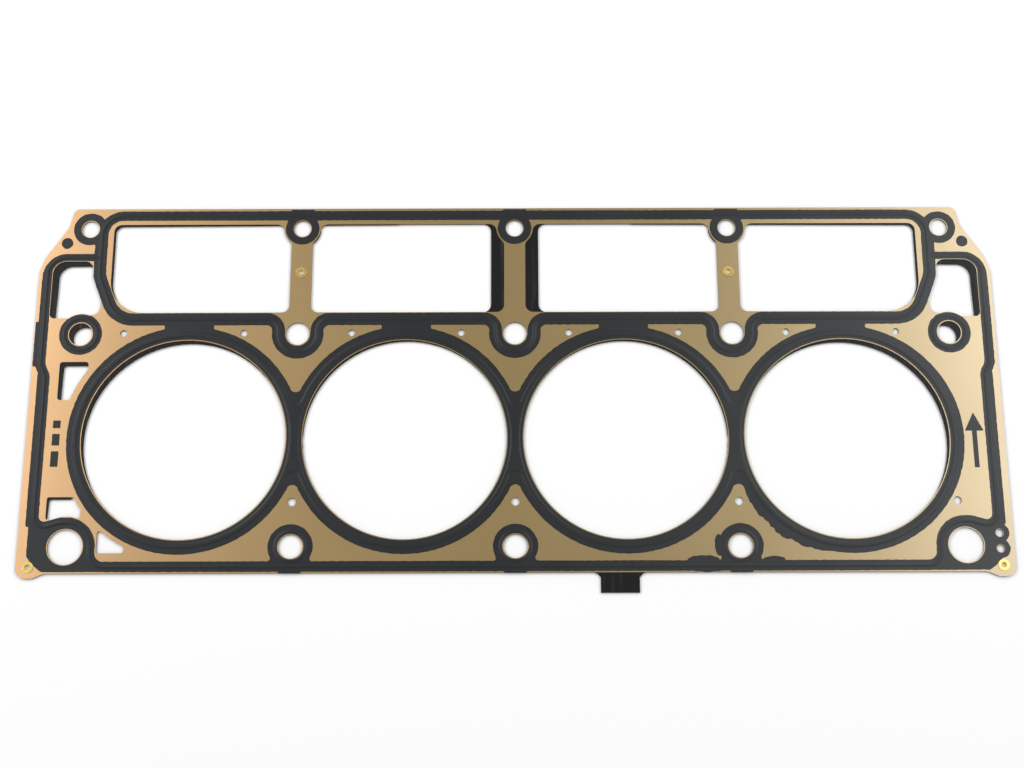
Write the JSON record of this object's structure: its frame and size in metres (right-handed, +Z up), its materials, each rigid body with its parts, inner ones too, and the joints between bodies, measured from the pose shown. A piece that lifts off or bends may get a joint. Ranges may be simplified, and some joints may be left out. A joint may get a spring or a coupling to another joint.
{
  "type": "cylinder head gasket",
  "caption": "Flat multi-layer steel cylinder head gasket for a bank of cylinders, with raised sealing beads, bolt holes, coolant ports and valley windows.",
  "frame": {"origin": "on the line of the cylinder bores, half way along the bank, on the face that lies on the engine block", "axes": "+X along the bank, towards the end with two small holes beside the dowel hole; +Y from the bores to the valley windows; +Z up, out of the raised beads"},
  "size_m": [0.4944, 0.2024, 0.0016],
  "materials": {
    "top_sheet_steel": "satin spring steel with a warm tint",
    "carrier_black": "smooth black coating",
    "rivet_brass": "satin"
  },
  "bodies": {
    "root": {"carrier_sheet": "carrier_black", "top_sheet": "top_sheet_steel", "rivets": "rivet_brass"}
  },
  "joints": []
}
